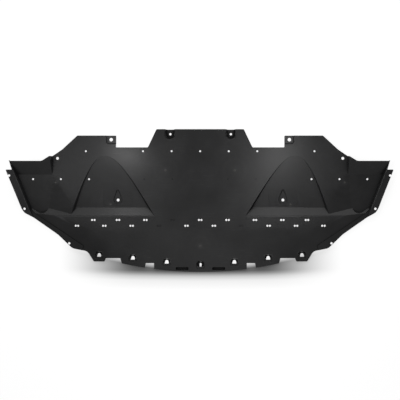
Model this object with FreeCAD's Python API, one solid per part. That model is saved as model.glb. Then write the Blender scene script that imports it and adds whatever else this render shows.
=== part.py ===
import FreeCAD, Part
import math
import os
from FreeCAD import Vector

# Engine splash shield, one moulded sheet that closes the engine bay from below.
# It lies with its ground side up: X is across the car, Y points rearward, Z is up, in millimetres.
# The whole form is one moulding core, and the sheet is the core less the same core set in by
# one wall, so every ramp, flange and recess keeps the same wall thickness.

# Sheet
wall = 2.5
plate_level = 26.0
seat_level = wall
floor_round = 1.5
rim_round = 2.5
fold_round = 8.0
crest_round = 20.0
tight_round = 1.0
corner_round = 6.0
sweep_round = 30.0

# Rear edge of the right half: raised middle, shelf, lug, shoulder and waist
rear_half = 185.0
rear_flank = 36.5
shelf_width = 135.1
shoulder_width = 163.4
shoulder_run = 64.0
waist_run = 41.0
shelf_y = 225.0
rear_rise = 77.0
lug_rise = 50.0
shoulder_fall = 59.0
waist_fall = 28.0

shelf_half = rear_half + rear_flank
lug_inner_x = shelf_half + shelf_width
shoulder_x = lug_inner_x + shoulder_width
waist_x = shoulder_x + shoulder_run
wing_inner_x = waist_x + waist_run
rear_y = shelf_y + rear_rise
shoulder_y = shelf_y + lug_rise
waist_y = shoulder_y - shoulder_fall
flange_shoulder_y = waist_y - waist_fall

# Rear edge and outer edge of the wing
knee_run = 37.0
knee_fall = 21.5
wing_width = 175.0
ear_rise = 3.5
ear_length = 40.0
ear_neck = 11.0
rim_overhang = 15.0
rim_length = 162.0
rim_sweep = 61.0
rim_corner_run = 11.0
rim_corner_fall = 19.0
nose_run = 35.0
nose_fall = 20.0

flange_knee_x = wing_inner_x + knee_run
flange_rear_y = flange_shoulder_y - knee_fall
ear_x = wing_inner_x + wing_width
ear_y = flange_rear_y + ear_rise
rim_rear_inner_x = ear_x - ear_neck
rim_rear_x = ear_x + rim_overhang
rim_rear_y = ear_y - ear_length
rim_front_x = rim_rear_x - rim_sweep
rim_front_y = rim_rear_y - rim_length
rim_corner_x = rim_front_x - rim_corner_run
rim_corner_y = rim_front_y - rim_corner_fall
nose_x = rim_corner_x - nose_run
nose_y = rim_corner_y - nose_fall

# Front edge, from the middle out: swept apron, bay, lobe, pad and pinch
front_y = -304.0
apron_sweep = 37.0
apron_lean = 6.0
bay_width = 68.0
bay_depth = 22.0
lobe_inner_reach = 24.0
lobe_outer_reach = 22.0
lobe_length = 14.5
lobe_run = 26.0
lobe_rise = 43.5
pad_run = 64.0
pad_rise = 13.0
pinch_run = 60.0
pinch_rise = 58.5

# Front fastening pockets, one on the middle and three each side, the last one on the lobe
front_pocket_pitch = 144.0
front_pocket_setbacks = [30.0, 43.0, 60.0, 72.0]
front_pocket_width = 36.0
front_pocket_length = 32.0
front_pocket_draft = 26.0
step_length = 8.0
step_depth = 2.5
keyhole_width = 17.0
keyhole_length = 15.0
keyhole_foot = 5.0
keyhole_top = 9.0
slot_width = 8.5

front_pocket_y = [front_y + setback for setback in front_pocket_setbacks]
lobe_x = 3 * front_pocket_pitch
lobe_inner_x = lobe_x - lobe_inner_reach
lobe_front_x = lobe_x + lobe_outer_reach
lobe_outer_x = lobe_front_x + lobe_run
pad_x = lobe_outer_x + pad_run
pinch_x = pad_x + pinch_run
apron_half = lobe_inner_x - bay_width
apron_corner_y = front_y + apron_sweep
bay_y = apron_corner_y + bay_depth
lobe_front_y = bay_y - lobe_length
lobe_outer_y = lobe_front_y + lobe_rise
pad_y = lobe_outer_y + pad_rise
pinch_y = pad_y + pinch_rise

# Front: riser up to the crest, flat crest, then the slopes down to the front edge
crest_y = -66.0
riser_angle = 24.0
crest_width = 70.0
front_slope = 5.0
corner_crease_inset = 53.0
corner_crease_fall = 8.0
corner_heading = -65.4
corner_slope = 9.0

front_crease_y = crest_y - crest_width
corner_crease_x = wing_inner_x - corner_crease_inset
corner_crease_y = crest_y - corner_crease_fall

# Wing: ramp that falls forward from the fold, and the rear flange that rises from the same fold
flange_width = 56.5
wing_slope = 5.7
wing_inner_heading = -33.0
wing_inner_slope = 9.0
flange_slope = 30.0
gusset_draft = 4.0
tongue_inset = 6.0
tongue_fall = 18.0
tongue_heading = 28.0
tongue_round = 14.0
tongue_draft = 25.0

fold_y = flange_rear_y - flange_width
tongue_x = wing_inner_x + tongue_inset
tongue_y = crest_y - tongue_fall

# Arch ramps: each arch is a curve on two feet that lean together, and rises to its share of the poles
arch_x = 376.0
arch_half = 162.0
arch_foot_y = -30.0
arch_pole_rise = 293.0
arch_pole_share = 0.75
arch_inner_lean = 31.0
arch_outer_lean = 19.8
arch_depth = 16.0
arch_draft = 25.0

arch_apex_y = arch_foot_y + arch_pole_share * arch_pole_rise

# Shallow panel of each arch ramp, round the teardrop seat: it deepens toward the foot of the ramp
panel_half = 61.0
panel_setback = 6.0
panel_length = 80.0
panel_depth = 1.0

panel_front_y = arch_foot_y + panel_setback
panel_rear_y = panel_front_y + panel_length

# Side rim: wall beside the wing with a flange on top
rim_width = 39.0
rim_foot_fall = 18.0
rim_heading = 160.8
rim_draft = 12.0
rim_height = 29.0
rim_fall_angle = 6.4
rim_corner_height = 9.0
rim_drop_heading = -144.7
rim_drop_angle = 15.0

rim_foot_x = rim_front_x - rim_width
rim_foot_y = rim_front_y - rim_foot_fall

# Raised strip that carries the rim on along the front diagonal
strip_inset = 9.0
strip_setback = 13.6
strip_heading = 124.7
strip_end_inset = 26.0
strip_end_setback = 12.0
strip_end_heading = 205.0
strip_height = 4.0
strip_draft = 25.0

strip_x = nose_x - strip_inset
strip_y = nose_y + strip_setback
strip_end_x = lobe_outer_x + strip_end_inset
strip_end_y = lobe_outer_y + strip_end_setback

# Rear fastening pockets, open to the rear edge
pocket_inset = 56.0
pocket_width = 43.0
pocket_length = 44.0
pocket_round = 5.0
pocket_draft = 20.0
pocket_hole_setback = 19.4
pocket_hole = 10.0

pocket_x = rear_half - pocket_inset
pocket_front_y = rear_y - pocket_length
pocket_hole_y = rear_y - pocket_hole_setback

# Corner lugs: a shallow step round each lug hole
lug_hole_inset = 21.4
lug_outer_reach = 20.0
lug_hole_setback = 17.0
lug_length = 36.0
lug_hole = 15.0
lug_depth = 6.0
lug_draft = 30.0
lug_round = 5.0

lug_x = lug_inner_x + lug_hole_inset
lug_outer_x = lug_x + lug_outer_reach
lug_hole_y = shoulder_y - lug_hole_setback
lug_front_y = shoulder_y - lug_length

# Locating sockets and notches of the front edge, between the pockets
socket_inner_reach = 21.0
socket_outer_reach = 32.0
socket_setback = 14.5
socket_length = 11.0
socket_draft = 5.0
notch_inner_reach = 19.0
notch_outer_reach = 16.0
notch_depth = 38.0
notch_lean = 8.0

socket_inner_x = front_pocket_pitch / 2 - socket_inner_reach
socket_outer_x = front_pocket_pitch / 2 + socket_outer_reach
socket_y = front_y + socket_setback
notch_inner_x = 1.5 * front_pocket_pitch - notch_inner_reach
notch_outer_x = 1.5 * front_pocket_pitch + notch_outer_reach
notch_y = front_y + notch_depth

# Teardrop seats on the arch ramps
drop_inset = 25.4
drop_setback = 32.0
drop_radius = 19.0
drop_tip = 50.0
drop_depth = 4.0
drop_draft = 30.0
drop_hole = 12.0
drop_ring_width = 20.0
drop_ring_height = 1.0

drop_x = arch_x - drop_inset
drop_y = arch_foot_y + drop_setback

# Holes of the shoulder and the rim
shoulder_hole = 12.0
shoulder_hole_place = (wing_inner_x - 21.0, flange_shoulder_y - 9.5)
rim_hole = 10.0
rim_hole_places = [(rim_rear_x - 14.0, rim_rear_y - 25.0),
                   (rim_front_x - 13.0, rim_front_y - 3.0),
                   (pad_x + 13.0, pad_y + 21.0)]

# Drain holes in two rows, and the places in them that are left blind
drain_hole = 8.0
rear_drain_setback = 16.3
rear_drain_pitch = 121.0
rear_drain_steps = [-4, -2, -1, 0, 1, 2, 4]
middle_drain_setback = 19.5
middle_drain_pitch = 118.0
middle_drain_steps = [-6, -5, -4, 4, 5, 6]
middle_blind_steps = [-2, -1, 1, 2]
blind_hole = 6.0
blind_depth = 1.6

rear_drain_y = shelf_y - rear_drain_setback
middle_drain_y = fold_y - middle_drain_setback

# Paired drains in two staggered rows across the crest
pair_hole = 8.5
pair_gap = 10.5
pair_pitch = 116.0
first_row_setback = 16.5
first_row_steps = [-3.9, -3, -2, 0, 1, 2, 3, 3.9]
first_row_blind_steps = [-1]
second_row_setback = 41.0
second_row_steps = [-4.5, -3.5, -2.5, -0.5, 0.5, 2.5, 3.5, 4.5]
second_row_blind_steps = [-1.5, 1.5]

first_row_y = crest_y - first_row_setback
second_row_y = crest_y - second_row_setback

# Gate marks left by the injection points
gate_radius = 4.0
gate_height = 1.5
wing_gate = (wing_inner_x - 13.0, fold_y - 34.4)
arch_gate = (arch_x + 7.0, arch_foot_y + 13.0)
plate_gate = (146.6, 128.0)
front_gate_y = -193.4

# Working values: room for the cutting blocks, and what counts as a sharp edge on a plane
room = 1200.0
sharp_turn = 10.0
close = 0.02


def turned(heading):
    """Level unit vector at a heading in degrees from +X."""
    angle = math.radians(heading)
    return Vector(math.cos(angle), math.sin(angle), 0)


def slope_normal(heading, slope):
    """Outward normal of a face that falls toward the heading."""
    angle = math.radians(slope)
    return turned(heading) * math.sin(angle) + Vector(0, 0, math.cos(angle))


def wall_normal(heading, draft):
    """Outward normal of a wall that looks toward the heading and opens upward by its draft."""
    angle = math.radians(draft)
    return turned(heading) * math.cos(angle) + Vector(0, 0, math.sin(angle))


def set_in(face, inset):
    """A skin plane, moved into the material."""
    point, normal = face
    return (point - normal * inset, normal)


def air(face, inset):
    """Block of all that lies outside a skin plane, once the plane is set in."""
    point, normal = set_in(face, inset)
    block = Part.makeBox(2 * room, 2 * room, room, Vector(-room, -room, 0))
    block.Placement = FreeCAD.Placement(point, FreeCAD.Rotation(Vector(0, 0, 1), normal))
    return block


def mass_under(faces, inset, front=-room, rear=room):
    """Solid below several skin planes."""
    solid = Part.makeBox(room, rear - front, room, Vector(0, front, -room / 2))
    for face in faces:
        solid = solid.cut(air(face, inset))
    return solid


def turn_angle(solid, edge):
    """Angle in degrees by which the skin turns over an edge."""
    middle = edge.valueAt((edge.FirstParameter + edge.LastParameter) / 2)
    normals = []
    for face in solid.ancestorsOfType(edge, Part.Face):
        normals.append(face.normalAt(*face.Surface.parameter(middle)))
    return math.degrees(normals[0].getAngle(normals[-1]))


def lies_in(edge, face):
    """Whether an edge runs in a skin plane."""
    point, normal = face
    span = (edge.LastParameter - edge.FirstParameter) / 4
    spots = [edge.valueAt(edge.FirstParameter + i * span) for i in range(5)]
    return all(abs((spot - point).dot(normal)) < close for spot in spots)


def rounded(solid, radius, faces, low=(-room, -2 * room), high=(2 * room, 2 * room)):
    """Round the sharp edges that run in all the given skin planes, inside a window in X and Y."""
    chosen = []
    for edge in solid.Edges:
        box = edge.BoundBox
        in_window = low[0] < box.XMin and box.XMax < high[0] and low[1] < box.YMin and box.YMax < high[1]
        if in_window and all(lies_in(edge, face) for face in faces) and turn_angle(solid, edge) > sharp_turn:
            chosen.append(edge)
    return solid.makeFillet(radius, chosen)


def window(x, y, reach):
    """Corners of a square window round a place."""
    return (x - reach, y - reach), (x + reach, y + reach)


def both_sides(shape):
    return shape.fuse(shape.mirror(Vector(0, 0, 0), Vector(1, 0, 0)))


def grown(corners, distance):
    """Corners of a counter-clockwise outline, moved outward by a distance."""
    result = []
    for i, (x, y, radius) in enumerate(corners):
        here = Vector(x, y, 0)
        last = Vector(corners[i - 1][0], corners[i - 1][1], 0)
        following = corners[(i + 1) % len(corners)]
        arriving = (here - last).normalize()
        leaving = (Vector(following[0], following[1], 0) - here).normalize()
        out_last = Vector(arriving.y, -arriving.x, 0)
        out_next = Vector(leaving.y, -leaving.x, 0)
        moved = here + (out_last + out_next) * (distance / (1 + out_last.dot(out_next)))
        turn = arriving.cross(leaving).z
        result.append((moved.x, moved.y, max(radius + math.copysign(distance, turn), 0.5)))
    return result


def rounded_wire(corners, level):
    """Closed wire through corners (x, y, radius), each rounded as far as its sides allow."""
    arcs = []
    points = [Vector(x, y, level) for x, y, radius in corners]
    for i, (x, y, radius) in enumerate(corners):
        here = points[i]
        back = points[i - 1] - here
        ahead = points[(i + 1) % len(points)] - here
        shorter = min(back.Length, ahead.Length)
        back.normalize()
        ahead.normalize()
        half = back.getAngle(ahead) / 2
        reach = min(radius / math.tan(half), 0.499 * shorter)
        middle = (back + ahead).normalize() * (reach / math.cos(half) - reach * math.tan(half))
        arcs.append(Part.Arc(here + back * reach, here + middle, here + ahead * reach).toShape())
    edges = []
    for arc, following in zip(arcs, arcs[1:] + arcs[:1]):
        edges.append(arc)
        edges.append(Part.LineSegment(arc.lastVertex().Point, following.firstVertex().Point).toShape())
    return Part.Wire(edges)


def prism(corners, low, high):
    return Part.Face(rounded_wire(corners, low)).extrude(Vector(0, 0, high - low))


def cavity(corners, rim_level, floor_level, draft, inset, head=2 * plate_level):
    """Drafted hollow: its corners are those at rim level, and it narrows down to its floor."""
    spread = math.tan(math.radians(draft))
    swell = inset / math.cos(math.radians(draft))
    low = floor_level - inset
    high = rim_level + head
    lower = rounded_wire(grown(corners, swell - (rim_level - low) * spread), low)
    upper = rounded_wire(grown(corners, swell + (high - rim_level) * spread), high)
    return Part.makeLoft([lower, upper], True, True)


def recess(corners, rim_level, floor_level, draft, inset):
    """Drafted hollow with its floor edge rounded."""
    hollow = cavity(corners, rim_level, floor_level, draft, inset)
    floor = (Vector(0, 0, floor_level - inset), Vector(0, 0, 1))
    return rounded(hollow, floor_round + inset, [floor])


def at(x, y, level=plate_level):
    return Vector(x, y, level)


def height(face, x, y):
    """Level of a skin plane above a point of the ground."""
    point, normal = face
    return point.z - ((x - point.x) * normal.x + (y - point.y) * normal.y) / normal.z


# Skin planes, each a point with its outward normal
plate = (at(0, 0), Vector(0, 0, 1))
riser = (at(0, crest_y), slope_normal(90, riser_angle))
front_face = (at(0, front_crease_y), slope_normal(-90, front_slope))
corner_face = (at(corner_crease_x, corner_crease_y), slope_normal(corner_heading, corner_slope))
arch_slope = math.degrees(math.atan(arch_depth / (arch_apex_y - arch_foot_y)))
arch_floor = (at(0, arch_apex_y), slope_normal(-90, arch_slope))
panel_hinge = at(0, panel_rear_y, height(arch_floor, 0, panel_rear_y))
panel_slope = arch_slope + math.degrees(math.atan(panel_depth / panel_length))
panel_floor = (panel_hinge, slope_normal(-90, panel_slope))
drop_floor = (at(0, arch_apex_y, plate_level - drop_depth), slope_normal(-90, arch_slope))
wing_floor = (at(0, fold_y), slope_normal(-90, wing_slope))
wing_inner = (at(wing_inner_x, fold_y), slope_normal(wing_inner_heading, wing_inner_slope))
flange_face = (at(0, fold_y), slope_normal(-90, flange_slope))
gusset = (at(wing_inner_x, fold_y), wall_normal(180, gusset_draft))
rim_wall = (at(rim_foot_x, rim_foot_y), wall_normal(rim_heading, rim_draft))
rim_top = (at(rim_rear_x, rim_rear_y, plate_level + rim_height), slope_normal(rim_heading + 90, rim_fall_angle))
rim_drop = (at(rim_corner_x, rim_corner_y, plate_level + rim_corner_height),
            slope_normal(rim_drop_heading, rim_drop_angle))
strip_wall = (at(strip_x, strip_y), wall_normal(strip_heading, strip_draft))
strip_end = (at(strip_end_x, strip_end_y), wall_normal(strip_end_heading, strip_draft))
strip_top = (at(corner_crease_x, corner_crease_y, plate_level + strip_height), corner_face[1])


def arch_recess(inset):
    """Ramp that falls forward inside a leaning arch, its side walls fading out at the apex."""
    spread = math.tan(math.radians(arch_draft))
    swell = inset / math.cos(math.radians(arch_draft))
    wires = []
    for drop in (2 * arch_depth, -arch_depth):
        growth = swell - drop * spread
        pole_y = arch_foot_y + arch_pole_rise + growth / arch_pole_share
        legs = []
        for side, lean in ((-1, arch_inner_lean), (1, arch_outer_lean)):
            angle = math.radians(lean)
            foot_x = arch_x + side * (arch_half + growth / math.cos(angle))
            for y in (front_crease_y, arch_foot_y, pole_y):
                legs.append(at(foot_x - side * (y - arch_foot_y) * math.tan(angle), y, plate_level - drop))
        inner_end, inner_foot, inner_pole, outer_end, outer_foot, outer_pole = legs
        curve = Part.BezierCurve()
        curve.setPoles([inner_foot, inner_pole, outer_pole, outer_foot])
        pieces = [Part.LineSegment(outer_end, inner_end), Part.LineSegment(inner_end, inner_foot),
                  curve, Part.LineSegment(outer_foot, outer_end)]
        wires.append(Part.Wire([piece.toShape() for piece in pieces]))
    bowl = Part.makeLoft(wires, True, True)
    return bowl.common(air(arch_floor, inset))


def arch_panel(inset):
    """Shallow panel of the arch ramp, hinged on its rear edge."""
    local_level = height(arch_floor, drop_x, (panel_front_y + panel_rear_y) / 2)
    corners = [(drop_x - panel_half, panel_front_y, tight_round),
               (drop_x + panel_half, panel_front_y, tight_round),
               (drop_x + panel_half, panel_rear_y, tight_round),
               (drop_x - panel_half, panel_rear_y, tight_round)]
    return cavity(corners, local_level, seat_level, arch_draft, inset).common(air(panel_floor, inset))


def wing_recess(inset):
    """Ramp that falls forward from the fold, closed inboard by a soft slope."""
    return air(wing_floor, inset).common(air(wing_inner, inset))


def rear_pocket(inset):
    """Sunk seat of a rear fastening, carried on past the rear edge so that it is open there."""
    half = pocket_width / 2
    corners = [(pocket_x - half, pocket_front_y, pocket_round),
               (pocket_x + half, pocket_front_y, pocket_round),
               (pocket_x + half, rear_y + pocket_width, pocket_round),
               (pocket_x - half, rear_y + pocket_width, pocket_round)]
    return recess(corners, plate_level, seat_level, pocket_draft, inset)


def lug_step(inset):
    """Shallow step round the lug hole, open to the rear and inner edges."""
    past = 4 * lug_depth
    corners = [(lug_inner_x - past, lug_front_y, lug_round),
               (lug_outer_x, lug_front_y, lug_round),
               (lug_outer_x, shoulder_y + past, lug_round),
               (lug_inner_x - past, shoulder_y + past, lug_round)]
    return recess(corners, plate_level, plate_level - lug_depth, lug_draft, inset)


def front_skin(x, y):
    """The front slope that is the skin at a place."""
    return min((front_face, corner_face), key=lambda face: height(face, x, y))


def front_pocket(x, y, inset):
    """Sunk seat of a front fastening, round to the rear, with a shallow step before its flat front."""
    half = front_pocket_width / 2
    front = y - front_pocket_length / 2
    rear = y + front_pocket_length / 2
    face = front_skin(x, y)
    level = height(face, x, y)
    step = [(x - half, front, corner_round / 2),
            (x + half, front, corner_round / 2),
            (x + half, y, tight_round),
            (x - half, y, tight_round)]
    seat = [(x - half, front + step_length, corner_round / 2),
            (x + half, front + step_length, corner_round / 2),
            (x + half, rear, half),
            (x - half, rear, half)]
    step_floor = set_in(face, step_depth)
    shallow = cavity(step, level, seat_level, front_pocket_draft, inset).common(air(step_floor, inset))
    deep = recess(seat, level, seat_level, front_pocket_draft, inset)
    return shallow.fuse(deep)


def socket(inset):
    """Blind locating socket just behind the front edge."""
    corners = [(socket_inner_x, socket_y - socket_length / 2, tight_round),
               (socket_outer_x, socket_y - socket_length / 2, tight_round),
               (socket_outer_x, socket_y + socket_length / 2, tight_round),
               (socket_inner_x, socket_y + socket_length / 2, tight_round)]
    return recess(corners, plate_level / 2, seat_level, socket_draft, inset)


def drop_seat(inset):
    """Teardrop seat sunk into the arch ramp: a round end with sides that meet at the tip."""
    local_level = height(arch_floor, drop_x, drop_y)
    base_half = (drop_tip + drop_radius) * math.tan(math.asin(drop_radius / drop_tip))
    corners = [(drop_x - base_half, drop_y - drop_radius, drop_radius),
               (drop_x + base_half, drop_y - drop_radius, drop_radius),
               (drop_x, drop_y + drop_tip, tight_round)]
    bowl = cavity(corners, local_level, seat_level, drop_draft, inset, head=2 * drop_depth)
    bowl = bowl.common(air(drop_floor, inset))
    return rounded(bowl, floor_round + inset, [set_in(drop_floor, inset)])


def rear_field(inset):
    """Plate with the fastening seats, arch ramps and wing ramps sunk into it."""
    solid = mass_under([plate], inset, front=(crest_y + front_crease_y) / 2)
    solid = solid.cut([rear_pocket(inset), lug_step(inset)])
    if not inset:
        solid = rounded(solid, rim_round, [plate], low=(1, lug_front_y - 1), high=(shoulder_x, room))
    return solid.cut([arch_recess(inset), arch_panel(inset), drop_seat(inset), wing_recess(inset)])


def front_band(inset):
    """Riser, crest and front slopes, with a rounded tongue of the wing ramp running into them."""
    edge = turned(tongue_heading) * room
    tongue = [(tongue_x, tongue_y, tongue_round),
              (tongue_x + edge.x, tongue_y + edge.y, tight_round),
              (tongue_x, tongue_y + room, tight_round)]
    solid = mass_under([plate, riser, front_face, corner_face], inset)
    solid = rounded(solid, crest_round - inset, [set_in(plate, inset), set_in(riser, inset)])
    sunk = [front_pocket(i * front_pocket_pitch, y, inset) for i, y in enumerate(front_pocket_y)]
    solid = solid.cut(sunk + [socket(inset), cavity(tongue, plate_level, -plate_level, tongue_draft, inset)])
    if not inset:
        for i, y in enumerate(front_pocket_y):
            x = i * front_pocket_pitch
            solid = rounded(solid, floor_round, [front_skin(x, y)], *window(x, y, front_pocket_length))
        middle = (socket_inner_x + socket_outer_x) / 2
        reach = socket_outer_x - middle + socket_length / 2
        solid = rounded(solid, floor_round, [front_face], *window(middle, socket_y, reach))
    return solid


def rear_flange(inset):
    """Flange that rises rearward from the fold, closed inboard by its gusset."""
    solid = mass_under([flange_face, gusset], inset)
    return rounded(solid, floor_round + wall - inset, [set_in(flange_face, inset), set_in(gusset, inset)])


def side_rim(inset):
    """Wall beside the wing with the fastening flange on top, and the strip that carries it forward."""
    rim = mass_under([rim_wall, rim_top, rim_drop], inset)
    rim = rounded(rim, rim_round + wall - inset, [set_in(rim_wall, inset), set_in(rim_top, inset)])
    strip = mass_under([strip_wall, strip_end, strip_top], inset)
    return rim.fuse(strip)


def outline():
    """Solid inside the outline of the right half."""
    body = [(-lug_inner_x, bay_y, tight_round),
            (lobe_inner_x - corner_round, bay_y, tight_round),
            (lobe_inner_x, lobe_front_y, corner_round),
            (lobe_front_x, lobe_front_y, corner_round),
            (lobe_outer_x, lobe_outer_y, sweep_round),
            (pad_x, pad_y, sweep_round),
            (pinch_x, pinch_y, sweep_round),
            (nose_x, nose_y, corner_round),
            (rim_corner_x, rim_corner_y, sweep_round),
            (rim_front_x, rim_front_y, sweep_round),
            (rim_rear_x, rim_rear_y, corner_round / 2),
            (rim_rear_inner_x, rim_rear_y, tight_round),
            (ear_x, ear_y, tight_round),
            (ear_x - corner_round, flange_rear_y, tight_round),
            (flange_knee_x, flange_rear_y, sweep_round),
            (wing_inner_x, flange_shoulder_y, corner_round / 2),
            (waist_x, waist_y, sweep_round),
            (shoulder_x, shoulder_y, corner_round),
            (lug_inner_x, shoulder_y, corner_round / 2),
            (lug_inner_x, shelf_y, corner_round / 2),
            (shelf_half, shelf_y, corner_round),
            (rear_half, rear_y, corner_round),
            (-rear_half, rear_y, corner_round)]
    apron = [(-apron_half, bay_y - room, tight_round),
             (apron_half - apron_lean, apron_corner_y, tight_round),
             (apron_half, bay_y, tight_round),
             (apron_half, 0, tight_round),
             (-apron_half, 0, tight_round)]
    rise = apron_corner_y - front_y
    sweep = ((apron_half - apron_lean) ** 2 + rise ** 2) / (2 * rise)
    front_edge = Part.makeCylinder(sweep, room, Vector(0, front_y + sweep, -room / 2))
    apron_solid = prism(apron, -room / 2, room / 2).common(front_edge)
    return prism(body, -room / 2, room / 2).fuse(apron_solid)


def core(inset):
    """Everything below the moulded top skin, or below that skin set in."""
    solid = rear_field(inset).fuse([front_band(inset), rear_flange(inset), side_rim(inset)]).removeSplitter()
    return rounded(solid, fold_round + inset, [set_in(riser, inset), set_in(arch_floor, inset)])


def drill(x, y, diameter, low=-room / 2, depth=room):
    return Part.makeCylinder(diameter / 2, depth, at(x, y, low))


def keyhole(x, y, width):
    """Fastener opening: narrow and round to the rear, wide at its front foot."""
    rear = y + keyhole_length / 2
    foot = rear - keyhole_length
    corners = [(x - width / 2, foot, floor_round),
               (x + width / 2, foot, floor_round),
               (x + width / 2, foot + keyhole_foot, floor_round),
               (x + keyhole_top / 2, rear, keyhole_top / 2),
               (x - keyhole_top / 2, rear, keyhole_top / 2),
               (x - width / 2, foot + keyhole_foot, floor_round)]
    return prism(corners, -room / 2, room / 2)


def notch():
    """Notch in the front edge, one flank square and the other leaning out."""
    corners = [(notch_inner_x, front_y, tight_round),
               (notch_outer_x + notch_lean, front_y, tight_round),
               (notch_outer_x, notch_y, floor_round),
               (notch_inner_x, notch_y, floor_round)]
    return prism(corners, -room / 2, room / 2)


def pair_places(row_y, steps):
    """Centres of the two holes of each paired drain in a row."""
    return [(i * pair_pitch + side, row_y) for i in steps for side in (-pair_gap / 2, pair_gap / 2)]


def half_openings():
    """What goes right through the right half and its mirror image."""
    cuts = [drill(pocket_x, pocket_hole_y, pocket_hole),
            drill(lug_x, lug_hole_y, lug_hole),
            drill(*shoulder_hole_place, shoulder_hole),
            drill(drop_x, drop_y, drop_hole),
            notch()]
    cuts += [drill(x, y, rim_hole) for x, y in rim_hole_places]
    cuts += [keyhole(i * front_pocket_pitch, front_pocket_y[i], keyhole_width) for i in (1, 2, 3)]
    return cuts


def drains():
    """Drain holes across the whole sheet."""
    cuts = [drill(i * rear_drain_pitch, rear_drain_y, drain_hole) for i in rear_drain_steps]
    cuts += [drill(i * middle_drain_pitch, middle_drain_y, drain_hole) for i in middle_drain_steps]
    for row_y, steps in ((first_row_y, first_row_steps), (second_row_y, second_row_steps)):
        cuts += [drill(x, y, pair_hole) for x, y in pair_places(row_y, steps)]
    return cuts


def blind_marks():
    """Places moulded for further drains and left closed."""
    floor = plate_level - blind_depth
    cuts = [drill(i * middle_drain_pitch, middle_drain_y, blind_hole, floor, wall) for i in middle_blind_steps]
    for row_y, steps in ((first_row_y, first_row_blind_steps), (second_row_y, second_row_blind_steps)):
        cuts += [drill(x, y, pair_hole, floor, wall) for x, y in pair_places(row_y, steps)]
    return cuts


def gate_mark(face, x, y):
    """Low cone left where an injection point was."""
    base = at(x, y, height(face, x, y) - wall / 2)
    return Part.makeCone(gate_radius, gate_radius / 2, wall / 2 + gate_height, base)


def drop_ring():
    """Raised ring round the hole of a teardrop seat."""
    foot = at(drop_x, drop_y, height(drop_floor, drop_x, drop_y) - wall / 2)
    return Part.makeCylinder(drop_ring_width / 2, wall / 2 + drop_ring_height, foot, drop_floor[1])


skin = core(0).cut(core(wall)).common(outline())
sheet = both_sides(skin).removeSplitter()
half_marks = [gate_mark(wing_inner, *wing_gate), gate_mark(panel_floor, *arch_gate),
              gate_mark(plate, *plate_gate), drop_ring()]
raised = [both_sides(mark) for mark in half_marks] + [gate_mark(front_face, 0, front_gate_y)]
cuts = [both_sides(cut) for cut in half_openings()] + drains() + blind_marks()
sheet = sheet.fuse(raised).cut(cuts + [keyhole(0, front_pocket_y[0], slot_width)])
sheet.translate(Vector(0, -(rear_y + front_y) / 2, 0))

os.makedirs("parts", exist_ok=True)
sheet.exportStep("parts/splash_shield.step")
print("splash_shield", sheet.isValid(), len(sheet.Solids), len(sheet.Faces), sheet.Volume)
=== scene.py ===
# %% [markdown]
# # Engine splash shield
# The object is one wide sheet of black plastic that was injected into a steel mould. Its whole
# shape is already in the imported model, so this script gives it what a mould and a studio give it:
# a surface, a floor to lie on, a camera and light to see it by.
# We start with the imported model. It is the fixed frame, and nothing below moves or changes it.

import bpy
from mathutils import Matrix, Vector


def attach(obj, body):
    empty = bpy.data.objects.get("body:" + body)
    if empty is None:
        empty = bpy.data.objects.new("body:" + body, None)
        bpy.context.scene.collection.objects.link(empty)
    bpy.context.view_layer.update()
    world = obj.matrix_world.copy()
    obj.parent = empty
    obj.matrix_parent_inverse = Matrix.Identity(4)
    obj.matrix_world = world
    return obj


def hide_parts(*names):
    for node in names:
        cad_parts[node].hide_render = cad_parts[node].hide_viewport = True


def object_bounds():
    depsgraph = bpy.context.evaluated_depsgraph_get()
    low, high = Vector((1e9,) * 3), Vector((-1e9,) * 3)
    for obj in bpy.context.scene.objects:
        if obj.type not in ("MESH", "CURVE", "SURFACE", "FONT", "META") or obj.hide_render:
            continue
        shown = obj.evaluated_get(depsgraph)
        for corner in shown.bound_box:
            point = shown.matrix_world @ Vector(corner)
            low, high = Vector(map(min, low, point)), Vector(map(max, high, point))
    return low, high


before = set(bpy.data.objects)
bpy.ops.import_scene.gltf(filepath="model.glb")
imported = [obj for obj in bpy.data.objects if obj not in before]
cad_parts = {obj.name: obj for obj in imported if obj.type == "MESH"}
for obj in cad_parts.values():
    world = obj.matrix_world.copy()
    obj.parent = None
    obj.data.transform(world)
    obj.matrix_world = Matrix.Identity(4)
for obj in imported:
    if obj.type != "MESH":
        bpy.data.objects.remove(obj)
cad_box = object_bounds()
print("the packed model has the nodes", list(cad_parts))

# %% Other tools
import math

import bmesh
import bpy
from mathutils import Vector

scene = bpy.context.scene
low, high = cad_box
print("the shield spans", [round(side, 3) for side in high - low], "metres")

# %% [markdown]
# ## Shader maths as plain expressions
# A finish is a small sum over the surface: a bit of grain, a bit of dirt, a bit of wear. Wiring each
# sum by hand hides it. A class that wraps a socket and overloads the operators lets us write
# the sum as it would stand on paper, and adds the Math nodes for us.

# %% Wrap a socket
class Value:
    """A number that varies over the surface, in one node tree."""

    def __init__(self, shader, socket):
        self.shader = shader
        self.socket = socket

    def maths(self, operation, *others, clamp=False):
        node = self.shader.node("ShaderNodeMath", {"operation": operation, "use_clamp": clamp},
                                **{str(i): value for i, value in enumerate((self,) + others)})
        return node["Value"]

    def __add__(self, other):
        return self.maths("ADD", other)

    def __mul__(self, other):
        return self.maths("MULTIPLY", other)

    def __truediv__(self, number):
        return self * (1 / number)

    def __sub__(self, other):
        return self.maths("SUBTRACT", other)

    def __rsub__(self, other):
        return (self * -1) + other

    def __pow__(self, other):
        return self.maths("POWER", other)

    def clamped(self):
        """The same number, held between 0 and 1."""
        return self.maths("ADD", 0.0, clamp=True)

    __radd__ = __add__
    __rmul__ = __mul__


print("a Value can be added, subtracted, multiplied, divided and raised to a power")

# %% [markdown]
# A second small class adds a node, sets it and links it in one call. It takes a material or the
# world, since both hold a node tree of the same kind. Sockets are given by name, or by
# number in quotes where a node has several of one name.

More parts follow.
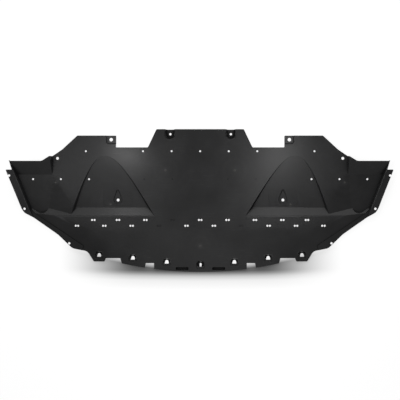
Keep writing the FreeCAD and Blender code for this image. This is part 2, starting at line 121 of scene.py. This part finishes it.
# %% Add any node
class Node:
    """One node, whose outputs are read by name."""

    def __init__(self, shader, node):
        self.shader = shader
        self.node = node

    def __getitem__(self, name):
        return Value(self.shader, self.node.outputs[name])


class Shader:
    """The node tree of a material or of the world."""

    def __init__(self, holder):
        self.holder = holder
        holder.use_nodes = True
        self.tree = holder.node_tree
        self.tree.nodes.clear()

    def node(self, kind, settings=None, **sockets):
        """Add a node, set its settings, then set or link its sockets."""
        node = self.tree.nodes.new(kind)
        for name, value in (settings or {}).items():
            setattr(node, name, value)
        for name, value in sockets.items():
            key = int(name) if name.isdigit() else name
            if isinstance(value, Value):
                self.tree.links.new(value.socket, node.inputs[key])
            else:
                node.inputs[key].default_value = value
        return Node(self, node)

    def ramp(self, factor, stops):
        """Turn a number into another along stops of (place, value)."""
        ramp = self.node("ShaderNodeValToRGB", Fac=factor)
        elements = ramp.node.color_ramp.elements
        while len(elements) < len(stops):
            elements.new(0.5)
        for element, (place, value) in zip(elements, stops):
            element.position = place
            element.color = grey(value)
        return ramp["Color"]

    def blend(self, share, under, over):
        """Lay one colour over another by a share."""
        mix = self.node("ShaderNodeMix", {"data_type": "RGBA"}, **{"0": share, "6": under, "7": over})
        return Value(self, mix.node.outputs[2])

    def mix_surfaces(self, share, first, second):
        """Let the second surface take over from the first by a share."""
        return self.node("ShaderNodeMixShader", **{"0": share, "1": first, "2": second})["Shader"]

    def output(self, kind, surface):
        self.node(kind, Surface=surface)
        return self.holder


def grey(level):
    return (level, level, level, 1)


print("a Shader adds nodes, ramps, blends of colours and mixed surfaces")

# %% [markdown]
# ## Grain, handling and flow
# Such a sheet is polypropylene, coloured black right through. The mould was spark-eroded, so the skin
# has a fine dull grain. Hands and rags have greyed the skin in patches, and the melt leaves
# a slow drift of tone. Painted pictures of these would need an unfolded mesh. Noise in metres on
# Object coordinates needs none, and every mark has its real size on every face. Noise sways
# about a middle of one half, which we take off where it is to go both ways. The hollows stay deep
# black while the open faces grey: that difference is painted shade, which the plastic below adds.

# %% Noise of a real size
GRAIN = 0.0011
HANDLING = 0.09
FLOW = 0.35
MIDDLE = 0.5


def noise(shader, place, size, detail):
    """Soft random patches, each about the given size in metres."""
    return shader.node("ShaderNodeTexNoise", Vector=place, Scale=1 / size, Detail=detail)["Fac"]


print("grain, handling and flow measure", [GRAIN, HANDLING, FLOW], "metres")

# %% [markdown]
# ## Gate marks
# The melt comes in through seven gates, and each leaves a small pip that the imported model has. A pale
# spot is painted on each pip as its highlight. Round a gate the skin was hottest: it is paler and glossier
# there, and faint ripples of the flow run out from it. All of these depend only on the distance to the
# nearest gate, so that is the one thing that we compute. The gates lie alike on both sides of the middle,
# which halves the list.

# %% Marks round the gates
GATES = [(0, -0.192), (0.147, 0.129), (0.383, -0.016), (0.612, 0.077)]
BLUSH = 0.014
# How far the painted highlight on each gate pip reaches.
PIP_HIGHLIGHT = 0.006
RIPPLE = 0.030
RIPPLE_REACH = 0.16
RIPPLE_WANDER = 9.0


def gate_distance(shader, place):
    """Distance in metres to the nearest gate."""
    axes = shader.node("ShaderNodeSeparateXYZ", Vector=place)
    across = axes["X"].maths("ABSOLUTE")
    nearest = None
    for x, y in GATES:
        distance = ((across - x) ** 2 + (axes["Y"] - y) ** 2) ** 0.5
        nearest = distance if nearest is None else nearest.maths("MINIMUM", distance)
    return nearest


def gate_marks(shader, place, clouds, flow):
    """The pale blush round each gate, the painted highlight on its pip and the ripples of the flow."""
    gate = gate_distance(shader, place)
    blush = (1 - gate / BLUSH + (clouds - MIDDLE)).clamped()
    # A painted highlight: a pale spot on the pip in each gate's middle.
    pip_highlight = (1 - gate / PIP_HIGHLIGHT).clamped()
    waves = (gate * (2 * math.pi / RIPPLE) + flow * RIPPLE_WANDER).maths("SINE")
    return blush, pip_highlight, waves * (1 - gate / RIPPLE_REACH).clamped()


print(2 * len(GATES) - 1, "gates are marked")

# %% [markdown]
# ## Rubs and dust
# A shield that was stacked and carried has short slanting rubs, and only where it was handled. Noise
# that is stretched 25 times along one direction gives strokes, and a ramp keeps just their
# peaks. Dust is the same thing unstretched, in specks. It settles where the sheet lies open.

# %% Wear
RUB_LENGTH = 0.05
RUB_WIDTH = 0.002
RUB_TURN = 0.5
RUB_PEAKS = ((0.60, 0.0), (0.72, 1.0))
HANDLED = ((0.50, 0.0), (0.62, 1.0))
DUST = 0.0016
DUST_PEAKS = ((0.66, 0.0), (0.74, 1.0))


def rubs_and_dust(shader, place, clouds):
    """Where the skin is rubbed and where it is dusty, each from 0 to 1."""
    turned = shader.node("ShaderNodeMapping", Vector=place, Rotation=(0, 0, RUB_TURN),
                         Scale=(1 / RUB_LENGTH, 1 / RUB_WIDTH, 1 / RUB_LENGTH))["Vector"]
    strokes = noise(shader, turned, 1.0, 2.0)
    specks = noise(shader, place, DUST, 2.0)
    return (shader.ramp(strokes, RUB_PEAKS) * shader.ramp(clouds, HANDLED),
            shader.ramp(specks, DUST_PEAKS))


print("a rub is", RUB_LENGTH / RUB_WIDTH, "times as long as wide")

# %% [markdown]
# ## The moulded plastic
# The sunk seats look almost black in the photograph, since hardly any of the room is mirrored in
# them. Ambient occlusion measures how open a spot is. The tone is multiplied by it, which paints
# shade into the hollows. In the most closed spots a matt black takes over from the satin skin as
# painted shade. The open skin is one Principled surface, with the refraction of polypropylene,
# whose tone runs from deep black to handled grey.

# %% Make the plastic
HOLLOW = 0.055
# Below this openness a matt black is painted in as shade.
PAINTED_SHADE_BELOW = 0.74
PAINTED_SHADE_RISE = 3.0
DEEP_BLACK = (0.011, 0.011, 0.0115, 1)
GREYED_BLACK = (0.037, 0.037, 0.038, 1)
RUBBED = (0.060, 0.060, 0.062, 1)
# Grey of dust, also used for the painted highlight on the gate pips.
DUST_AND_HIGHLIGHT_GREY = (0.130, 0.125, 0.118, 1)
TONE_SWAY = 0.8
RIPPLE_TONE = 0.05
RUB_SHARE = 0.5
BLUSH_SHARE = 0.5
DUST_SHARE = 0.25
SATIN = 0.36
SATIN_SWAY = 0.10
RIPPLE_GLOSS = 0.010
RUB_GLOSS = 0.05
BLUSH_GLOSS = 0.10
PIT_DEPTH = 0.0001
PIT_STRENGTH = 0.25
REFRACTION = 1.49


def moulded_plastic():
    shader = Shader(bpy.data.materials.new("moulded_skin"))
    place = shader.node("ShaderNodeTexCoord")["Object"]
    grain = noise(shader, place, GRAIN, 3.0)
    clouds = noise(shader, place, HANDLING, 5.0)
    flow = noise(shader, place, FLOW, 2.0)
    open_air = shader.node("ShaderNodeAmbientOcclusion", {"samples": 6, "only_local": True},
                           Distance=HOLLOW)["AO"]
    blush, pip_highlight, ripple = gate_marks(shader, place, clouds, flow)
    rubs, dust = rubs_and_dust(shader, place, clouds)

    sway = (clouds - MIDDLE) * TONE_SWAY + (flow - MIDDLE) * TONE_SWAY
    # Multiplying by open_air paints shade: the hollows turn deep black.
    tone = (sway + ripple * RIPPLE_TONE + MIDDLE).clamped() * open_air
    colour = shader.blend(tone, DEEP_BLACK, GREYED_BLACK)
    colour = shader.blend(rubs * open_air * RUB_SHARE + blush * BLUSH_SHARE, colour, RUBBED)
    # The painted highlight on each gate pip.
    colour = shader.blend(pip_highlight, colour, DUST_AND_HIGHLIGHT_GREY)
    colour = shader.blend(dust * open_air * DUST_SHARE, colour, DUST_AND_HIGHLIGHT_GREY)
    roughness = (SATIN + (clouds - MIDDLE) * SATIN_SWAY + ripple * RIPPLE_GLOSS
                 - rubs * RUB_GLOSS - blush * BLUSH_GLOSS)
    bump = shader.node("ShaderNodeBump", Height=grain, Strength=PIT_STRENGTH, Distance=PIT_DEPTH)["Normal"]
    skin = shader.node("ShaderNodeBsdfPrincipled", **{"Base Color": colour, "Roughness": roughness,
                                                      "Normal": bump, "IOR": REFRACTION})["BSDF"]
    matt = shader.node("ShaderNodeBsdfDiffuse", Color=DEEP_BLACK)["BSDF"]
    # Painted shade: in the most closed spots a matt black takes over from the skin.
    painted_shade = ((PAINTED_SHADE_BELOW - open_air) * PAINTED_SHADE_RISE).clamped()
    return shader.output("ShaderNodeOutputMaterial", shader.mix_surfaces(painted_shade, skin, matt))


plastic = moulded_plastic()
print("the plastic has", len(plastic.node_tree.nodes), "nodes")

# %% [markdown]
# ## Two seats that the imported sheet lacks
# Seven fastening seats are sunk into the front edge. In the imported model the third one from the
# middle, on either side, is a bare hole. We could model a seat anew, but its neighbour toward the
# middle has the same form on the same slope. So we take the walls and the floor of that one and set a
# copy of them into the hole. A face belongs to a seat if it lies near it and not in the slope.

# %% Find the faces of a seat
SEAT_PITCH = 0.144
SOUND_SEAT_Y = -0.260
BARE_SEAT_Y = -0.243
SEAT_REACH = 0.0225
SKIN_LEVEL = 0.026
SLOPE_START_Y = -0.135
FRONT_SLOPE = math.tan(math.radians(5))
SHEET_WALL = 0.0025
ON_SKIN = 0.00008


def lies_on_skin(face):
    """Whether a face belongs to the plain slope, above or below, and not to a seat."""
    depths = [SKIN_LEVEL + (v.co.y - SLOPE_START_Y) * FRONT_SLOPE - v.co.z for v in face.verts]
    return any(all(abs(depth - level) < ON_SKIN for depth in depths) for level in (0, SHEET_WALL))


def seat_faces(mesh, x, y):
    """The faces of one seat: all that lie within its reach, apart from the slope round it."""
    near = [face for face in mesh.faces
            if all(abs(v.co.x - x) < SEAT_REACH and abs(v.co.y - y) < SEAT_REACH for v in face.verts)]
    return [face for face in near if not lies_on_skin(face)]


print("a seat is sought within", SEAT_REACH, "metres of its middle")

# %% [markdown]
# The rim of the copy and the rim of the hole follow the same line with other corners. Corners less
# than a seam's width apart are welded, and what slits remain between them are filled. Here and
# there that folds a tiny fin of two faces back to back, with nothing between them. The fins go again.

# %% Borrow a seat from its neighbour
WELD = 0.00001
SEAM = 0.0004


def drop_fins(mesh):
    """Delete the faces that lie back to back on the same corners."""
    layers = {}
    for face in mesh.faces:
        layers.setdefault(frozenset(face.verts), []).append(face)
    fins = [face for pair in layers.values() if len(pair) > 1 for face in pair]
    bmesh.ops.delete(mesh, geom=fins, context="FACES")
    print(len(fins), "faces of fins were dropped")


def close_seams(mesh):
    """Sew the rims of the copies to the rims of the holes."""
    bmesh.ops.remove_doubles(mesh, verts=mesh.verts, dist=WELD)
    rims = {v for edge in mesh.edges if edge.is_boundary for v in edge.verts}
    bmesh.ops.remove_doubles(mesh, verts=list(rims), dist=SEAM)
    slits = [edge for edge in mesh.edges if edge.is_boundary]
    filled = bmesh.ops.holes_fill(mesh, edges=slits, sides=0)["faces"]
    bmesh.ops.triangulate(mesh, faces=filled)
    drop_fins(mesh)
    print("filling the slits took", len(slits), "open edges to",
          sum(edge.is_boundary for edge in mesh.edges))


def fill_bare_seats(data):
    """Give each bare hole of a copied mesh the seat of its neighbour."""
    mesh = bmesh.new()
    mesh.from_mesh(data)
    step = BARE_SEAT_Y - SOUND_SEAT_Y
    for side in (-1, 1):
        bare = seat_faces(mesh, side * 2 * SEAT_PITCH, BARE_SEAT_Y)
        bmesh.ops.delete(mesh, geom=bare, context="FACES")
        sound = seat_faces(mesh, side * SEAT_PITCH, SOUND_SEAT_Y)
        copied = bmesh.ops.duplicate(mesh, geom=sound)["geom"]
        corners = [item for item in copied if isinstance(item, bmesh.types.BMVert)]
        bmesh.ops.translate(mesh, verts=corners, vec=(side * SEAT_PITCH, step, step * FRONT_SLOPE))
        print("side", side, "gives up", len(bare), "faces and gets", len(sound))
    close_seams(mesh)
    mesh.to_mesh(data)
    mesh.free()


print("rims less than", SEAM, "metres apart are sewn together")

# %% [markdown]
# ## The sheet
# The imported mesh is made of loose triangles, which shade as facets. The real skin is smooth over each
# radius and breaks only at the tight edges. Marking those by hand would take thousands of
# choices. A short Geometry Nodes tree makes the same choice for every edge: it welds the
# triangles, then keeps as sharp only the edges over which the skin turns by more than one angle.

# %% A tree that welds and shades
SHARP_TURN = math.radians(24)


def shading_tree():
    tree = bpy.data.node_groups.new("weld_and_shade", "GeometryNodeTree")
    for name, kind in (("Geometry", "Geometry"), ("Weld distance", "Float"), ("Sharp turn", "Float"),
                       ("Finish", "Material")):
        tree.interface.new_socket(name, in_out="INPUT", socket_type="NodeSocket" + kind)
    tree.interface.new_socket("Geometry", in_out="OUTPUT", socket_type="NodeSocketGeometry")
    given = tree.nodes.new("NodeGroupInput")
    weld = tree.nodes.new("GeometryNodeMergeByDistance")
    turn = tree.nodes.new("GeometryNodeInputMeshEdgeAngle")
    sharp = tree.nodes.new("FunctionNodeCompare")
    sharp.operation = "GREATER_THAN"
    smooth = tree.nodes.new("GeometryNodeSetShadeSmooth")
    crisp = tree.nodes.new("GeometryNodeSetShadeSmooth")
    crisp.domain = "EDGE"
    crisp.inputs["Shade Smooth"].default_value = False
    finish = tree.nodes.new("GeometryNodeSetMaterial")
    result = tree.nodes.new("NodeGroupOutput")
    for source, target in (
        (given.outputs["Geometry"], weld.inputs["Geometry"]),
        (given.outputs["Weld distance"], weld.inputs["Distance"]),
        (turn.outputs["Unsigned Angle"], sharp.inputs[0]),
        (given.outputs["Sharp turn"], sharp.inputs[1]),
        (weld.outputs["Geometry"], smooth.inputs["Geometry"]),
        (smooth.outputs["Geometry"], crisp.inputs["Geometry"]),
        (sharp.outputs["Result"], crisp.inputs["Selection"]),
        (crisp.outputs["Geometry"], finish.inputs["Geometry"]),
        (given.outputs["Finish"], finish.inputs["Material"]),
        (finish.outputs["Geometry"], result.inputs["Geometry"]),
    ):
        tree.links.new(source, target)
    return tree


print("edges stay sharp above", round(math.degrees(SHARP_TURN)), "degrees")

# %% [markdown]
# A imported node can't be changed, so the tree works on a copy, which then stands for the node. Weighted
# normals come after it. They keep the large flat fields quite flat up to their radii.

# %% Make the sheet
def add_object(name, data):
    """Put a mesh, a camera or a lamp into the scene."""
    thing = bpy.data.objects.new(name, data)
    scene.collection.objects.link(thing)
    return thing


def shaded_copy(node, name):
    """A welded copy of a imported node, with smooth radii, that stands for it."""
    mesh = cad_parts[node].data.copy()
    fill_bare_seats(mesh)
    mesh.materials.clear()
    source = add_object("source_of_" + name, mesh)
    tree = shading_tree()
    modifier = source.modifiers.new("weld_and_shade", "NODES")
    modifier.node_group = tree
    values = {"Weld distance": WELD, "Sharp turn": SHARP_TURN, "Finish": plastic}
    for item in tree.interface.items_tree:
        if item.in_out == "INPUT" and item.name in values:
            modifier[item.identifier] = values[item.name]
    source.modifiers.new("even_normals", "WEIGHTED_NORMAL").keep_sharp = True
    evaluated = source.evaluated_get(bpy.context.evaluated_depsgraph_get())
    finished = bpy.data.meshes.new_from_object(evaluated)
    finished.name = name
    bpy.data.objects.remove(source)
    return add_object(name, finished)


sheet = shaded_copy("splash_shield", "moulded_sheet")
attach(sheet, "root")
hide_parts("splash_shield")
print("the sheet has", len(sheet.data.polygons), "faces and", [m.name for m in sheet.data.materials])

# %% [markdown]
# ## The floor
# The photograph has a white ground with a soft shadow before the front edge. A floor lit bright enough
# to read as white would send too much light back on the object. So the camera sees a glow just
# short of white, and a pale matt share on top of it takes the lamps and the shadow.
# Before the front edge the glow gives way to a darker matt floor: a painted shadow, on which the real
# shadow also shows fully.
# That zone starts along the bow of the front edge, ends on a flatter bow and fades to both sides.

# %% Where the shadow shows fully
FRONT_EDGE = -0.300
FRONT_SWEEP = 0.30
FAR_SWEEP = 0.04
SHADOW_BACK = 0.03
SHADOW_REACH = 0.12
SHADOW_HALF = 0.64
SHADOW_SIDES = 1.7
SHADOW_FADE = ((0.25, 0.97), (0.33, 0.82), (0.45, 0.45), (0.60, 0.18), (1.0, 0.0))


def shadow_zone(shader):
    """How far a spot of the floor belongs to the painted shadow zone, from 0 to 1."""
    axes = shader.node("ShaderNodeSeparateXYZ", Vector=shader.node("ShaderNodeTexCoord")["Object"])
    ahead = FRONT_EDGE + SHADOW_BACK - axes["Y"]
    bend = axes["X"] ** 2
    start = ((ahead + bend * FRONT_SWEEP) / SHADOW_BACK).clamped()
    fading = shader.ramp((ahead + bend * FAR_SWEEP) / SHADOW_REACH, SHADOW_FADE)
    share = ((1 - axes["X"].maths("ABSOLUTE") / SHADOW_HALF) * SHADOW_SIDES).clamped()
    return fading * start * (share * share * (3 - share * 2))


print("the zone reaches", SHADOW_REACH - SHADOW_BACK, "metres before the front edge")

# %% Lay the floor
FLOOR_SIDE = 40.0
GLOW = 0.86
SHADOW_SHARE = 0.42
SHADOW_TONE = 0.25
BOUNCE = 0.9


def floor_material():
    shader = Shader(bpy.data.materials.new("studio_floor"))
    path = shader.node("ShaderNodeLightPath")
    seen = (path["Is Camera Ray"] + path["Is Glossy Ray"] + path["Is Transmission Ray"]).clamped()
    bounce, dark, pale = (shader.node("ShaderNodeBsdfDiffuse", Color=grey(level))["BSDF"]
                          for level in (BOUNCE, SHADOW_TONE, SHADOW_SHARE))
    glow = shader.node("ShaderNodeEmission", Color=grey(1.0), Strength=GLOW)["Emission"]
    bright = shader.node("ShaderNodeAddShader", **{"0": pale, "1": glow})["Shader"]
    # The darker zone is a painted shadow; the real shadow falls on it as well.
    shown = shader.mix_surfaces(shadow_zone(shader), bright, dark)
    return shader.output("ShaderNodeOutputMaterial", shader.mix_surfaces(seen, bounce, shown))


half = FLOOR_SIDE / 2
corners = [(-half, -half, 0), (half, -half, 0), (half, half, 0), (-half, half, 0)]
floor_mesh = bpy.data.meshes.new("floor")
floor_mesh.from_pydata(corners, [], [(0, 1, 2, 3)])
floor_mesh.materials.append(floor_material())
floor = add_object("floor", floor_mesh)
print("the floor is", FLOOR_SIDE, "metres wide")

# %% [markdown]
# ## Camera
# The photograph looks squarely at the sheet, which fills the width of the frame. Its raised rims are
# shifted a little to the left, so its camera stood to one side. Turning ours would slant the
# sheet. A lens shift keeps the view square, as it does on a real view camera.

# %% Aim the camera
DISTANCE = 3.5
SEEN_WIDTH = 1.706
AIM = (-0.0028, 0.0031)
SIDE = 0.3
SENSOR = 36.0
camera_data = bpy.data.cameras.new("camera")
camera_data.sensor_width = SENSOR
camera_data.lens = SENSOR * DISTANCE / SEEN_WIDTH
camera_data.shift_x = -SIDE / SEEN_WIDTH
camera = add_object("camera", camera_data)
camera.location = (AIM[0] + SIDE, AIM[1], DISTANCE)
scene.camera = camera
scene.view_settings.view_transform = "Standard"
print("the lens is", round(camera_data.lens, 1), "mm long")

# %% [markdown]
# ## Light
# Black plastic shows hardly any colour of its own: what we see is the sheen of the lamps. Each soft lamp
# over the sheet is therefore placed by its reflection. We choose the spot where the camera is to see
# the sheen and the height of the lamp, and the law of reflection gives the place. A low small lamp
# makes a tight sheen and a high wide one a broad sheen. Two large lamps, behind and before
# the sheet, light its ramps.

# %% Two kinds of lamp
def softbox(name, place, target, size, watts):
    """A rectangular lamp at a place, turned to its target."""
    data = bpy.data.lights.new(name, "AREA")
    data.shape = "RECTANGLE"
    data.size, data.size_y = size
    data.energy = watts
    lamp = add_object(name, data)
    lamp.location = place
    lamp.visible_camera = False
    lamp.rotation_euler = (Vector(target) - Vector(place)).to_track_quat("-Z", "Y").to_euler()


def sheen_lamp(name, spot, height, size, watts):
    """A lamp whose reflection in the level sheet the camera sees at the spot."""
    foot = Vector((*spot, 0))
    sight = camera.location - foot
    mirrored = Vector((-sight.x, -sight.y, sight.z))
    softbox(name, foot + mirrored * (height / sight.z), foot, size, watts)


print("sheens are placed for a camera at", [round(part, 3) for part in camera.location])

# %% Set the lamps: spot, height, size and watts; then place, size and watts
SHEENS = {
    "left_core": ((-0.311, 0.195), 0.30, (0.06, 0.14), 0.128),
    "left_wide": ((-0.320, 0.160), 0.90, (0.20, 0.40), 0.34),
    "right_core": ((0.330, 0.200), 0.35, (0.12, 0.16), 0.095),
    "right_wide": ((0.320, 0.120), 0.90, (0.20, 0.40), 0.84),
    "left_far": ((-0.600, 0.100), 1.00, (0.30, 0.50), 0.42),
    "apron_wide": ((0.000, -0.370), 1.00, (1.20, 0.30), 0.69),
}
PANELS = {
    "rear_lamp": ((0, 2.5, 2.0), (3.5, 1.4), 19.5),
    "front_lamp": ((0, -2.5, 1.6), (3.5, 1.2), 3.0),
}
for name, settings in SHEENS.items():
    sheen_lamp(name, *settings)
for name, (place, size, watts) in PANELS.items():
    softbox(name, place, (0, 0, 0), size, watts)
print(len(SHEENS), "lamps make the sheen and", len(PANELS), "light the ramps")

# %% [markdown]
# The room beyond the floor is white to the camera only. The sheet goes on seeing a dim grey
# room, since a white one would wash the black out.

# %% Fill the room
ROOM = 0.19
world = bpy.data.worlds.new("studio")
scene.world = world
sky = Shader(world)
dim = sky.node("ShaderNodeBackground", Color=grey(1.0), Strength=ROOM)["Background"]
white = sky.node("ShaderNodeBackground", Color=grey(1.0), Strength=1.0)["Background"]
seen = sky.node("ShaderNodeLightPath")["Is Camera Ray"]
sky.output("ShaderNodeOutputWorld", sky.mix_surfaces(seen, dim, white))
print("the room sends", ROOM, "of a white one's light")
